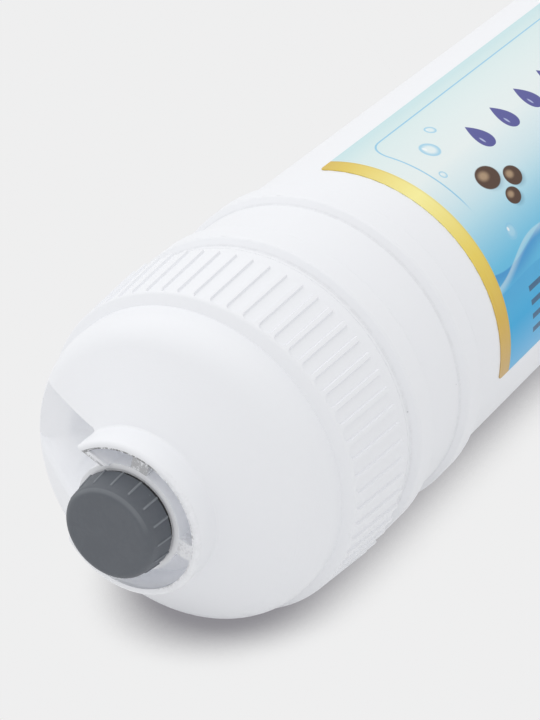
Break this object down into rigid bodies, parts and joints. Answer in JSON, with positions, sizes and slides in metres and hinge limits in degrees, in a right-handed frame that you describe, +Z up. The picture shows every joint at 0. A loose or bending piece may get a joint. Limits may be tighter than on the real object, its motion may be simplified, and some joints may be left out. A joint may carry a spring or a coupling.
{
  "type": "inline water filter cartridge",
  "caption": "Inline carbon water filter cartridge: a sealed white tube with a domed, ribbed cap, a printed label and screw plugs closing its threaded ports.",
  "frame": {"origin": "middle of the cartridge's length, on the surface that it lies on", "axes": "+X along the cartridge from the cap end to the closed end, +Z up, +Y to the side of the cap's trough"},
  "size_m": [0.2786, 0.0526, 0.0525],
  "materials": {
    "white_plastic": "satin moulded polypropylene",
    "label_film": "printed glossy film",
    "carbon": "packed granules",
    "plug_plastic": "satin moulded plastic",
    "seal_rubber": "matt",
    "screen_plastic": "moulded",
    "felt": "pressed fibre"
  },
  "bodies": {
    "housing": {"canister": "white_plastic", "end_cap": "white_plastic", "label": "label_film", "carbon_bed": "carbon", "cap_screen": "screen_plastic", "cap_felt_pad": "felt", "closed_end_screen": "screen_plastic", "closed_end_felt_pad": "felt"},
    "cap_seal": {"cap_plug_seal": "seal_rubber"},
    "cap_plug": {"cap_plug": "plug_plastic"},
    "closed_end_seal": {"closed_end_plug_seal": "seal_rubber"},
    "closed_end_plug": {"closed_end_plug": "plug_plastic"}
  },
  "joints": [
    {"name": "cap_plug_travel", "type": "slide", "parent": "housing", "child": "cap_seal", "axis": [-1, 0, 0], "range_m": [0, 0.0107]},
    {"name": "cap_plug_turn", "type": "hinge", "parent": "cap_seal", "child": "cap_plug", "pos_m": [-0.1342, 0, 0.02626], "axis": [-1, 0, 0], "range_deg": [0, 2880]},
    {"name": "closed_end_plug_travel", "type": "slide", "parent": "housing", "child": "closed_end_seal", "axis": [1, 0, 0], "range_m": [0, 0.0107]},
    {"name": "closed_end_plug_turn", "type": "hinge", "parent": "closed_end_seal", "child": "closed_end_plug", "pos_m": [0.1342, 0, 0.02626], "axis": [1, 0, 0], "range_deg": [0, 2880]}
  ],
  "couplings": [
    {"joint": "cap_plug_turn", "follows": "cap_plug_travel", "rad_per_m": 4699.5},
    {"joint": "closed_end_plug_turn", "follows": "closed_end_plug_travel", "rad_per_m": 4699.5}
  ]
}
